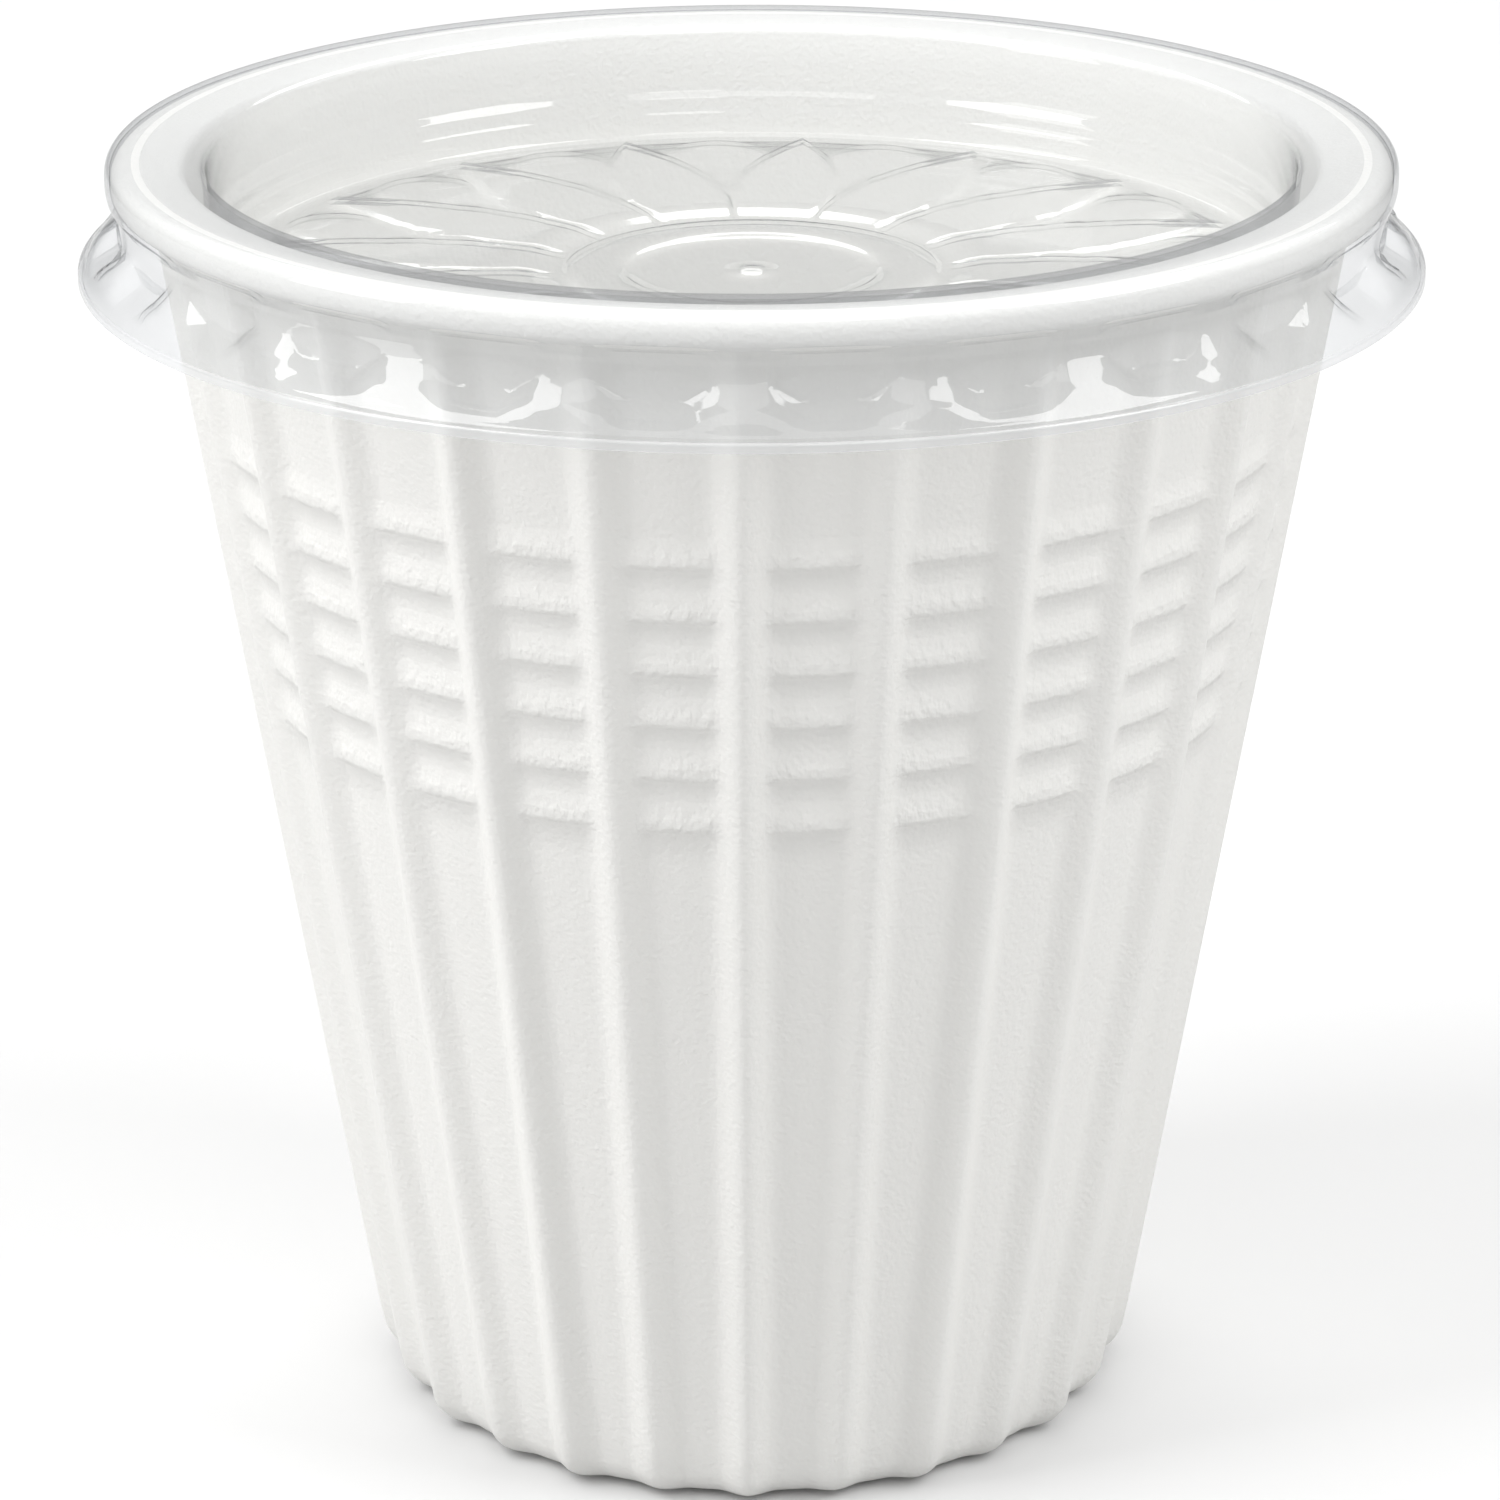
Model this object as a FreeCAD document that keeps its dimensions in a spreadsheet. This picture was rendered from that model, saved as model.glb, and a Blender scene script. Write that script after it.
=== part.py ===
import FreeCAD, Part
import math
import os
import re
import Sketcher

# A ribbed foam soup cup with a clear press-on lid. Millimetres, +Z up, the
# origin at the middle of the foot, the front towards -Y. Angles in degrees.

SIZES = {
    # cup
    "cup_height": 109.2,        # table to the rim's crown
    "rim_reach": 4.05,          # how far the rolled rim stands out past the panels
    "rim_depth": 2.7,
    "rim_land": 2.2,            # flat crown of the rim, in from its outside
    "rim_dip": 0.5,             # fall of the rim from its crown to the mouth
    "rim_round": 0.95,
    "rim_top_round": 1.3,
    "foot_radius": 32.6,        # over the tall ribs, carried down to the table
    "draft": 9.08,              # lean of the wall
    "foam": 1.9,                # wall under the panels
    "floor_thickness": 2.2,
    "push_up": 1.2,             # hollow under the floor
    "foot_land": 5.8,           # flat ring it stands on, in from the panels
    "rib_foot_round": 4.5,
    "panel_foot_round": 3.4,
    "floor_round": 3.0,
    "rib_pairs": 13,            # one tall and one low rib each
    "rib_tall": 1.6,
    "rib_low": 1.25,
    "rib_crest_round": 1.4,
    "rib_root_round": 0.9,
    "rib_sink": 0.15,
    "bar_rows": 6,
    "bar_drop": 21.9,           # rim's crown to the lower edge of the top bar
    "bar_pitch": 4.55,
    "bar_rise": 3.0,
    "bar_out": 0.7,
    "bar_clear": 1.75,          # from a rib's middle to the end of a bar
    "bar_slant": 0.5,           # how much each end of a bar leans in
    "cup_turn": 12.84,
    # lid
    "lid_wall": 0.4,
    "lid_gap": 0.1,             # between the lid's bead and the rim
    "well_gap": 1.25,           # between the lid's well and the cup's mouth
    "mouth_round": 0.9,
    "shoulder_round": 1.3,
    "bead_depth": 2.8,
    "bead_round": 0.6,
    "neck_in": 0.6,             # the neck bites under the rim by this much
    "neck_depth": 3.85,
    "crease_in": 0.2,
    "crease_depth": 5.3,
    "flare_out": 1.8,
    "flare_depth": 7.6,
    "hem_out": 2.5,
    "hem_depth": 8.85,
    "skirt_out": 3.0,
    "skirt_depth": 9.75,
    "well_depth": 10.2,
    "well_lean": 0.3,
    "ledge_depth": 6.05,
    "ledge_fall": 0.85,
    "ledge_in": 0.6,
    "step_depth": 7.8,
    "step_fall": 0.5,
    "step_in": 0.3,
    "well_round": 1.6,
    "lugs": 25,
    "lug_in": 0.42,             # flat face of each lug, in from the rim's edge
    "lug_half_top": 4.8,
    "lug_half_foot": 2.3,
    "lug_top_depth": 3.9,
    "lug_foot_depth": 6.8,
    "lid_turn": 2.87,
    # rosette pressed in the floor of the lid
    "petals": 16,
    "petal_turn": 13.2,
    "petal_out": 0.45,
    "petal_start": 16.2,
    "petal_start_half": 2.85,
    "petal_margin": 2.2,        # petal tip to the side of the well
    "petal_bow": 28.4,          # radius of a petal's curved side
    "leaf_out": 0.22,           # the low round petals between the pointed ones
    "leaf_start": 23.0,
    "leaf_start_half": 1.0,
    "leaf_back": 4.8,           # its round end's centre, in from the pointed tips
    "leaf_half": 4.6,
    "hub_radius": 15.5,
    "hub_dish": 10.6,
    "hub_out": 0.3,
    "pip_radius": 0.9,
}

doc = FreeCAD.newDocument("soup_cup")
sheet = doc.addObject("Spreadsheet::Sheet", "Sizes")
for row, (alias, value) in enumerate(SIZES.items(), start=1):
    sheet.set(f"A{row}", alias)
    sheet.set(f"B{row}", str(value))
    sheet.setAlias(f"B{row}", alias)
doc.recompute()


def linked(expression):
    """The expression with every size read from the sheet."""
    def name(word):
        return f"Sizes.{word[0]}" if word[0] in SIZES else word[0]
    return re.sub(r"[a-z_]+", name, expression)


def value(expression):
    """What the expression is worth now, in plain numbers."""
    found = sheet.evalExpression(linked(expression))
    return float(getattr(found, "Value", found))


def bind(thing, prop, expression):
    thing.setExpression(prop, linked(expression))


def origin_part(body, role):
    return next(part for part in body.Origin.OriginFeatures if part.Role == role)


def sketch_on(body, name, role, placement=None):
    sketch = body.newObject("Sketcher::SketchObject", name)
    sketch.AttachmentSupport = [(origin_part(body, role), "")]
    sketch.MapMode = "FlatFace"
    if placement:
        sketch.AttachmentOffset = placement
    return sketch


def fix(sketch, shape, end, x, y):
    """Hold one end of a sketched edge at (x, y), both given as expressions."""
    for axis, word, expression in ((-2, "DistanceX", x), (-1, "DistanceY", y)):
        if expression == "0":
            sketch.addConstraint(Sketcher.Constraint("PointOnObject", shape, end, axis))
            continue
        number = sketch.addConstraint(
            Sketcher.Constraint(word, -1, 1, shape, end, value(expression)))
        bind(sketch, f"Constraints[{number}]", expression)


def polygon(sketch, corners):
    """A closed outline through corners given as pairs of expressions."""
    spots = [FreeCAD.Vector(value(x), value(y), 0) for x, y in corners]
    first = sketch.GeometryCount
    count = len(spots)
    for here, there in zip(spots, spots[1:] + spots[:1]):
        sketch.addGeometry(Part.LineSegment(here, there))
    for edge in range(count):
        after = first + (edge + 1) % count
        sketch.addConstraint(
            Sketcher.Constraint("Coincident", first + edge, 2, after, 1))
    for edge, (x, y) in enumerate(corners):
        fix(sketch, first + edge, 1, x, y)


def circle(sketch, radius):
    shape = sketch.addGeometry(
        Part.Circle(FreeCAD.Vector(), FreeCAD.Vector(0, 0, 1), value(radius)))
    sketch.addConstraint(Sketcher.Constraint("Coincident", shape, 3, -1, 1))
    number = sketch.addConstraint(Sketcher.Constraint("Radius", shape, value(radius)))
    bind(sketch, f"Constraints[{number}]", radius)


def spun(body, kind, name, sketch):
    """A full turn of the sketch about the body's upright axis."""
    turn = body.newObject(f"PartDesign::{kind}", name)
    turn.Profile = sketch
    turn.ReferenceAxis = (sketch, ["V_Axis"])
    turn.Angle = 360
    return turn


def ring_edges(feature, radius, height):
    """Names of the full circles of that radius at that height."""
    found = []
    for number, edge in enumerate(feature.Shape.Edges, start=1):
        if not isinstance(edge.Curve, Part.Circle):
            continue
        off = abs(edge.Curve.Radius - radius) + abs(edge.Curve.Center.z - height)
        if off < 0.01:
            found.append(f"Edge{number}")
    return found


def rounded(body, name, feature, corner, radius):
    """A fillet on the ring at that corner, an (x, y) pair of expressions."""
    doc.recompute()
    fillet = body.newObject("PartDesign::Fillet", name)
    fillet.Base = (feature, ring_edges(feature, value(corner[0]), value(corner[1])))
    bind(fillet, "Radius", radius)
    return fillet


def around(body, name, feature, count):
    """Copies of a feature, evenly spaced about the upright axis."""
    doc.recompute()
    ring = body.newObject("PartDesign::PolarPattern", name)
    ring.Originals = [feature]
    ring.Axis = (origin_part(body, "Z_Axis"), [""])
    ring.Angle = 360
    bind(ring, "Occurrences", count)
    body.Tip = ring
    return ring


# The cup's wall

TAPER = "tan(draft)"
CREST = "(foot_radius + ({0}) * tan(draft))"
PANEL = "(foot_radius - rib_tall + ({0}) * tan(draft))"
INSIDE = "(foot_radius - rib_tall - foam / cos(draft) + ({0}) * tan(draft))"


RIM = f"({PANEL.format('cup_height')} + rim_reach)"


def leaning(turn, height):
    """A plane square to the wall's slope, where a panel has that height."""
    draft = value("draft")
    spot = FreeCAD.Vector(value(PANEL.format(height)), 0, value(height))
    about = FreeCAD.Rotation(FreeCAD.Vector(0, 0, 1), turn)
    lean = FreeCAD.Rotation(FreeCAD.Vector(0, 1, 0), draft)
    return FreeCAD.Placement(about.multVec(spot), about.multiply(lean))


def cup_blank(body):
    """The plain cup: smooth panels, rolled rim, floor with a hollow below."""
    floor = "push_up + floor_thickness"
    under = "cup_height - rim_depth"
    mouth = "cup_height - rim_dip"
    land = "foot_radius - rib_tall - foot_land"
    corners = {
        "hollow": ("0", "push_up"),
        "hollow_edge": (f"{land} - push_up", "push_up"),
        "foot_inner": (land, "0"),
        "foot": (PANEL.format("0"), "0"),
        "under_rim": (PANEL.format(under), under),
        "rim_low": (RIM, under),
        "rim_high": (RIM, "cup_height"),
        "land": (f"{RIM} - rim_land", "cup_height"),
        "mouth": (INSIDE.format(mouth), mouth),
        "floor_edge": (INSIDE.format(floor), floor),
        "floor": ("0", floor),
    }
    sketch = sketch_on(body, "wall_outline", "XZ_Plane")
    polygon(sketch, list(corners.values()))
    blank = spun(body, "Revolution", "wall", sketch)
    for corner, radius in (
            ("foot", "panel_foot_round"), ("floor_edge", "floor_round"),
            ("rim_low", "rim_round"), ("rim_high", "rim_top_round"),
            ("under_rim", "rim_round"), ("mouth", "rim_round / 2")):
        blank = rounded(body, f"{corner}_round", blank, corners[corner], radius)
    return blank


def rib_outline(sketch, height):
    """A rounded crest that runs into the panel through two hollow flanks."""
    crest, root = value("rib_crest_round"), value("rib_root_round")
    tall, sink = value(height), value("rib_sink")
    lean = math.acos(1 - (tall + sink) / (crest + root))
    half = (crest + root) * math.sin(lean)
    up = FreeCAD.Vector(0, 0, 1)
    middle = FreeCAD.Vector(tall - crest, 0, 0)
    top = Part.Circle(middle, up, crest)
    sketch.addGeometry(Part.ArcOfCircle(top, -lean, lean))
    for side in (1, -1):
        centre = FreeCAD.Vector(root - sink, side * half, 0)
        ends = sorted((math.pi, math.pi + side * lean))
        flank = Part.Circle(centre, up, root)
        sketch.addGeometry(Part.ArcOfCircle(flank, *ends))
    deep = -0.6
    spots = [FreeCAD.Vector(x, y, 0) for x, y in (
        (-sink, half), (deep, half), (deep, -half), (-sink, -half))]
    for here, there in zip(spots, spots[1:]):
        sketch.addGeometry(Part.LineSegment(here, there))
    joints = (("Tangent", 0, 2, 1, 2), ("Tangent", 0, 1, 2, 1),
              ("Coincident", 1, 1, 3, 1), ("Coincident", 3, 2, 4, 1),
              ("Coincident", 4, 2, 5, 1), ("Coincident", 5, 2, 2, 2))
    for joint in joints:
        sketch.addConstraint(Sketcher.Constraint(*joint))
    sketch.addConstraint(Sketcher.Constraint("PointOnObject", 0, 3, -1))
    sketch.addConstraint(Sketcher.Constraint("Vertical", 4))
    for line in (3, 5):
        sketch.addConstraint(Sketcher.Constraint("Horizontal", line))
    sketch.addConstraint(Sketcher.Constraint("Horizontal", 1, 1, 1, 3))
    sketch.addConstraint(Sketcher.Constraint("Horizontal", 2, 2, 2, 3))
    for word, first, expression in (
            ("Radius", (0,), "rib_crest_round"), ("Radius", (1,), "rib_root_round"),
            ("Radius", (2,), "rib_root_round"),
            ("DistanceX", (-1, 1, 0, 3), f"{height} - rib_crest_round"),
            ("DistanceX", (-1, 1, 1, 1), "-rib_sink"),
            ("DistanceX", (-1, 1, 2, 2), "-rib_sink"),
            ("DistanceX", (-1, 1, 3, 2), str(deep))):
        number = sketch.addConstraint(
            Sketcher.Constraint(word, *first, value(expression)))
        bind(sketch, f"Constraints[{number}]", expression)


def ribs(body, name, height, turn):
    """One kind of rib, from below the foot up into the rim, all round."""
    below = "-3"
    sketch = sketch_on(body, f"{name}_outline", "XY_Plane", leaning(turn, below))
    rib_outline(sketch, height)
    rib = body.newObject("PartDesign::Pad", name)
    rib.Profile = sketch
    bind(rib, "Length", f"(cup_height - rim_depth / 2 - ({below})) / cos(draft)")
    return around(body, f"{name}_ring", rib, "rib_pairs")


def trim_foot(body):
    """Cut away what the ribs leave below and outside the rounded foot."""
    draft, bend = math.radians(value("draft")), value("rib_foot_round")
    back = bend / math.tan((math.pi / 2 + draft) / 2)
    start = value("foot_radius") - back
    turned = math.pi / 2 - draft
    end_x = start + bend * math.sin(turned)
    end_z = bend * (1 - math.cos(turned))
    wide, deep = value(RIM), -8
    sketch = sketch_on(body, "foot_trim_outline", "XZ_Plane")
    centre = FreeCAD.Vector(start, bend, 0)
    arc = Part.Circle(centre, FreeCAD.Vector(0, 0, 1), bend)
    sketch.addGeometry(Part.ArcOfCircle(arc, -math.pi / 2, -math.pi / 2 + turned))
    spots = [FreeCAD.Vector(x, y, 0) for x, y in (
        (end_x, end_z), (wide, end_z), (wide, deep), (start, deep), (start, 0))]
    for here, there in zip(spots, spots[1:]):
        sketch.addGeometry(Part.LineSegment(here, there))
    for joint in ((0, 2, 1, 1), (1, 2, 2, 1), (2, 2, 3, 1), (3, 2, 4, 1), (4, 2, 0, 1)):
        sketch.addConstraint(Sketcher.Constraint("Coincident", *joint))
    for line, word in ((1, "Horizontal"), (3, "Horizontal"), (2, "Vertical"), (4, "Vertical")):
        sketch.addConstraint(Sketcher.Constraint(word, line))
    sketch.addConstraint(Sketcher.Constraint("PointOnObject", 4, 2, -1))
    sketch.addConstraint(Sketcher.Constraint("Vertical", 0, 3, 0, 1))
    setback = "rib_foot_round / tan((90 + draft) / 2)"
    for word, first, expression in (
            ("Radius", (0,), "rib_foot_round"),
            ("DistanceX", (-1, 1, 4, 2), f"foot_radius - {setback}"),
            ("DistanceY", (-1, 1, 0, 2), "rib_foot_round * (1 - sin(draft))"),
            ("DistanceX", (-1, 1, 2, 1), RIM),
            ("DistanceY", (-1, 1, 3, 1), str(deep))):
        number = sketch.addConstraint(
            Sketcher.Constraint(word, *first, value(expression)))
        bind(sketch, f"Constraints[{number}]", expression)
    return spun(body, "Groove", "foot_trim", sketch)


def bars(body):
    """Louvred grip bars: six to a panel, each a ramp that ends in a step."""
    inner, flush = "-0.5", "-0.05"
    first, slant = "cup_height - bar_drop", "bar_slant"
    half = f"(pi * {PANEL.format(first)} / (2 * rib_pairs) - bar_clear)"
    sections = []
    for name, rise, out in (("bar_step", "0", "bar_out"), ("bar_ramp", "bar_rise", flush)):
        low = f"{first} + {rise}"
        sketch = sketch_on(body, name, "XY_Plane", leaning(0, low))
        shrink = f"{slant} * {2 if rise != '0' else 1}"
        root = half if rise == "0" else f"({half} - {slant})"
        polygon(sketch, [(inner, f"-{root}"), (out, f"-({half} - {shrink})"),
                         (out, f"{half} - {shrink}"), (inner, root)])
        sections.append(sketch)
    doc.recompute()
    bar = body.newObject("PartDesign::AdditiveLoft", "bar")
    bar.Profile = sections[0]
    bar.Sections = [sections[1]]
    bar.Ruled = True
    doc.recompute()
    every = doc.addObject("PartDesign::MultiTransform", "bars")
    every.Originals = [bar]
    body.addObject(every)
    down = doc.addObject("PartDesign::LinearPattern", "bar_rows")
    down.Direction = (sections[0], ["N_Axis"])
    down.Reversed = True
    bind(down, "Length", "(bar_rows - 1) * bar_pitch / cos(draft)")
    bind(down, "Occurrences", "bar_rows")
    body.addObject(down)
    round_about = doc.addObject("PartDesign::PolarPattern", "bar_columns")
    round_about.Axis = (origin_part(body, "Z_Axis"), [""])
    round_about.Angle = 360
    bind(round_about, "Occurrences", "2 * rib_pairs")
    body.addObject(round_about)
    every.Transformations = [down, round_about]
    body.Tip = every
    return every


def make_cup():
    body = doc.addObject("PartDesign::Body", "cup")
    body.Label = "cup"
    cup_blank(body)
    step = 360 / value("rib_pairs")
    ribs(body, "tall_rib", "rib_tall", step / 4)
    ribs(body, "low_rib", "rib_low", step * 3 / 4)
    trim_foot(body)
    bars(body)
    bind(body, "Placement.Rotation.Angle", "cup_turn")
    return body


# The lid

CROWN = "(cup_height + lid_wall)"
MOUTH = f"({INSIDE.format('(cup_height - rim_dip)')} - well_gap - lid_wall)"
TIP = f"({MOUTH} - well_lean - ledge_in - step_in - petal_margin)"


def lid_outline():
    """The lid's upper surface from its middle out to the edge of the skirt."""
    floor = f"{CROWN} - well_depth"
    well_top = f"({MOUTH} - well_lean)"
    ledge = f"({well_top} - ledge_in)"
    bead = f"({RIM} + lid_gap + lid_wall)"
    return {
        "middle": ("0", floor),
        "well_foot": (f"{ledge} - step_in", floor),
        "step_low": (f"{ledge} - step_in", f"{CROWN} - step_depth - step_fall"),
        "step_high": (ledge, f"{CROWN} - step_depth"),
        "ledge_low": (ledge, f"{CROWN} - ledge_depth - ledge_fall"),
        "ledge_high": (well_top, f"{CROWN} - ledge_depth"),
        "mouth": (MOUTH, f"{CROWN} - rim_dip"),
        "land": (f"{RIM} - rim_land", CROWN),
        "shoulder": (bead, CROWN),
        "bead": (bead, f"{CROWN} - bead_depth"),
        "neck": (f"{RIM} - neck_in", f"{CROWN} - neck_depth"),
        "crease": (f"{RIM} - crease_in", f"{CROWN} - crease_depth"),
        "flare": (f"{RIM} + flare_out", f"{CROWN} - flare_depth"),
        "hem": (f"{RIM} + hem_out", f"{CROWN} - hem_depth"),
        "hem_edge": (f"{RIM} + skirt_out", f"{CROWN} - hem_depth - lid_wall / 2"),
        "skirt": (f"{RIM} + skirt_out", f"{CROWN} - skirt_depth"),
    }


def underside(outline):
    """The same outline one lid wall further in, mitred at every corner."""
    names = list(outline)
    spots = [FreeCAD.Vector(value(x), value(z), 0) for x, z in outline.values()]
    ahead = [(b - a).normalize() for a, b in zip(spots, spots[1:])]
    inward = [FreeCAD.Vector(d.y, -d.x, 0) for d in ahead]
    moved = {}
    for number, name in enumerate(names):
        before = inward[max(number - 1, 0)]
        after = inward[min(number, len(inward) - 1)]
        both = before + after
        shift = both * (2 / both.dot(both))
        x, z = outline[name]
        if x != "0":
            x = f"{x} + {shift.x:.4f} * lid_wall"
        moved[name] = (x, f"{z} + {shift.y:.4f} * lid_wall")
    return moved


def petal(sketch, inset):
    """A pointed petal along the sketch's X, its sides one arc each."""
    start, half = f"petal_start + {inset}", f"petal_start_half - {inset}"
    tip, bow = f"{TIP} - 3 * {inset}", value("petal_bow")
    end = FreeCAD.Vector(value(tip), 0, 0)
    low = FreeCAD.Vector(value(start), -value(half), 0)
    high = FreeCAD.Vector(value(start), value(half), 0)
    sketch.addGeometry(Part.LineSegment(low, high))
    for first, last in ((end, high), (low, end)):
        chord = last - first
        inward = FreeCAD.Vector(-chord.y, chord.x, 0).normalize()
        depth = math.sqrt(bow ** 2 - chord.Length ** 2 / 4)
        middle = first + chord * 0.5 + inward * depth
        turns = [math.atan2(spot.y - middle.y, spot.x - middle.x) for spot in (first, last)]
        round_edge = Part.Circle(middle, FreeCAD.Vector(0, 0, 1), bow)
        sketch.addGeometry(Part.ArcOfCircle(round_edge, *turns))
    for joint in ((0, 2, 1, 2), (0, 1, 2, 1), (1, 1, 2, 2)):
        sketch.addConstraint(Sketcher.Constraint("Coincident", *joint))
    fix(sketch, 0, 1, start, f"-({half})")
    fix(sketch, 0, 2, start, half)
    fix(sketch, 1, 1, tip, "0")
    for edge in (1, 2):
        number = sketch.addConstraint(Sketcher.Constraint("Radius", edge, bow))
        bind(sketch, f"Constraints[{number}]", "petal_bow")


def leaf(sketch, inset):
    """A low petal with a round end, along the sketch's X."""
    start, half = f"leaf_start + {inset}", f"leaf_start_half - {inset} / 2"
    wide, end = f"leaf_half - {inset}", f"{TIP} - leaf_back"
    middle = FreeCAD.Vector(value(end), 0, 0)
    top = FreeCAD.Vector(value(end), value(wide), 0)
    low = FreeCAD.Vector(value(end), -value(wide), 0)
    near, out = value(start), value(half)
    sketch.addGeometry(Part.LineSegment(FreeCAD.Vector(near, out, 0), top))
    sketch.addGeometry(Part.LineSegment(low, FreeCAD.Vector(near, -out, 0)))
    sketch.addGeometry(Part.LineSegment(
        FreeCAD.Vector(near, -out, 0), FreeCAD.Vector(near, out, 0)))
    cap = Part.Circle(middle, FreeCAD.Vector(0, 0, 1), value(wide))
    sketch.addGeometry(Part.ArcOfCircle(cap, -math.pi / 2, math.pi / 2))
    for joint in ((0, 2, 3, 2), (1, 1, 3, 1), (1, 2, 2, 1), (2, 2, 0, 1)):
        sketch.addConstraint(Sketcher.Constraint("Coincident", *joint))
    fix(sketch, 2, 1, start, f"-({half})")
    fix(sketch, 2, 2, start, half)
    fix(sketch, 0, 2, end, wide)
    fix(sketch, 1, 1, end, f"-({wide})")
    sketch.addConstraint(Sketcher.Constraint("Vertical", 3, 3, 3, 2))


def raised(body, name, draw, floor, height, turn="0"):
    """A shape drawn flat on the lid's floor and raised by a height."""
    sketch = sketch_on(body, f"{name}_outline", "XY_Plane")
    sketch.AttachmentOffset = FreeCAD.Placement(
        FreeCAD.Vector(0, 0, value(floor)),
        FreeCAD.Rotation(FreeCAD.Vector(0, 0, 1), value(turn)))
    bind(sketch, "AttachmentOffset.Base.z", floor)
    draw(sketch)
    pad = body.newObject("PartDesign::Pad", name)
    pad.Profile = sketch
    bind(pad, "Length", height)
    return pad


def rosette(body, floor, inset):
    """Sixteen pointed petals over sixteen round ones, and a dished hub."""
    half_step = "petal_turn + 180 / petals"
    low = raised(body, "leaf", lambda s: leaf(s, inset), floor, "leaf_out", half_step)
    around(body, "leaves", low, "petals")
    tall = raised(body, "petal", lambda s: petal(s, inset), floor, "petal_out",
                  "petal_turn")
    around(body, "petals", tall, "petals")

    def hub(sketch):
        circle(sketch, f"hub_radius - {inset}")
        circle(sketch, f"hub_dish + {inset}")
    raised(body, "hub", hub, floor, "hub_out")
    raised(body, "pip", lambda s: circle(s, f"pip_radius - {inset} / 2"), floor, "hub_out")


def catch_lugs(body, grow):
    """Flat-faced dents across the crease that catch under the rim."""
    sketch = sketch_on(body, "lug_outline", "YZ_Plane")
    bind(sketch, "AttachmentOffset.Base.z", f"{RIM} - lug_in - {grow}")
    top, foot = f"(lug_half_top + {grow})", f"(lug_half_foot + {grow})"
    high = f"{CROWN} - lug_top_depth + {grow}"
    crease = f"{CROWN} - crease_depth"
    low = f"{CROWN} - lug_foot_depth - {grow}"
    polygon(sketch, [(f"-{top}", high), (f"-{top}", crease), (f"-{foot}", low),
                     (foot, low), (top, crease), (top, high)])
    dent = body.newObject("PartDesign::Pocket", "lug")
    dent.Profile = sketch
    dent.Reversed = True
    bind(dent, "Length", "skirt_out + lug_in + 2 * lid_wall")
    return around(body, "lug_ring", dent, "lugs")


def lid_body(name, outline, inset, deep, rounds):
    """The space below one face of the lid, as a turned solid."""
    body = doc.addObject("PartDesign::Body", name)
    x, z = outline["skirt"]
    step = f"{RIM} - neck_in - 3 * lid_wall"
    below = [(x, z), (x, deep), ("0", deep)] if inset != "0" else [
        (x, z), (step, z), (step, deep), ("0", deep)]
    sketch = sketch_on(body, f"{name}_outline", "XZ_Plane")
    polygon(sketch, list(outline.values())[:-1] + below)
    blank = spun(body, "Revolution", f"{name}_turned", sketch)
    for corner, radius in rounds:
        blank = rounded(body, f"{name}_{corner}_round", blank, outline[corner], radius)
    catch_lugs(body, inset)
    rosette(body, outline["middle"][1], inset)
    return body


def make_lid():
    """A thin shell: the form of its top face less the form of its under face."""
    top = lid_outline()
    floor = top["middle"][1]
    outer = lid_body("lid_form", top, "0", f"{floor} - 3 * lid_wall", (
        ("well_foot", "well_round"), ("mouth", "mouth_round"),
        ("shoulder", "shoulder_round"), ("bead", "bead_round")))
    inner = lid_body("lid_core", underside(top), "lid_wall", f"{floor} - 6 * lid_wall", (
        ("well_foot", "well_round + lid_wall"), ("mouth", "mouth_round - lid_wall"),
        ("shoulder", "shoulder_round - lid_wall")))
    doc.recompute()
    lid = doc.addObject("Part::Cut", "lid")
    lid.Label = "lid"
    lid.Base = outer
    lid.Tool = inner
    bind(lid, "Placement.Rotation.Angle", "lid_turn")
    return lid


def check_and_write(parts):
    doc.recompute()
    for thing in doc.Objects:
        if {"Invalid", "Error"} & set(thing.State):
            raise RuntimeError(f"{thing.Name} failed: {thing.State}")
    os.makedirs("parts", exist_ok=True)
    for part in parts:
        shape = part.Shape
        if shape.isNull() or not shape.isValid() or len(shape.Solids) != 1:
            raise RuntimeError(f"{part.Label} is not one sound solid")
        shape.exportStep(f"parts/{part.Label}.step")
        box = shape.BoundBox
        print(f"{part.Label}: {shape.Volume:.0f} mm3, {len(shape.Faces)} faces, "
              f"z {box.ZMin:.2f} to {box.ZMax:.2f}, width {box.XLength:.2f}")


check_and_write([make_cup(), make_lid()])
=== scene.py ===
from math import atan2, cos, hypot, pi, radians, sin, sqrt, tan

import bpy
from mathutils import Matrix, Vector


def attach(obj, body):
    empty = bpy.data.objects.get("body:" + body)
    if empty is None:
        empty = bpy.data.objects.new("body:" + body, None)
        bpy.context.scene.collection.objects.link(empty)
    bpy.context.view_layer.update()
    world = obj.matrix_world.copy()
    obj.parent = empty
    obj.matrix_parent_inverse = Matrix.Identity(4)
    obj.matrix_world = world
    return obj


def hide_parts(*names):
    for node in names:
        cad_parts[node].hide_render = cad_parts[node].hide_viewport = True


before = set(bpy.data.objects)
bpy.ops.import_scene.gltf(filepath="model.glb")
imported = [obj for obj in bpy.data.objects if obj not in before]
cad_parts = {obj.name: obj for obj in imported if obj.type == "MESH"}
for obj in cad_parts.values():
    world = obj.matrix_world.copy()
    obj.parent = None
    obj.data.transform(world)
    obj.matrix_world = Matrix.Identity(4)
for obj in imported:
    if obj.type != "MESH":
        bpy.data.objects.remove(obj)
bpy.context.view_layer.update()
mm = 0.001


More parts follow.
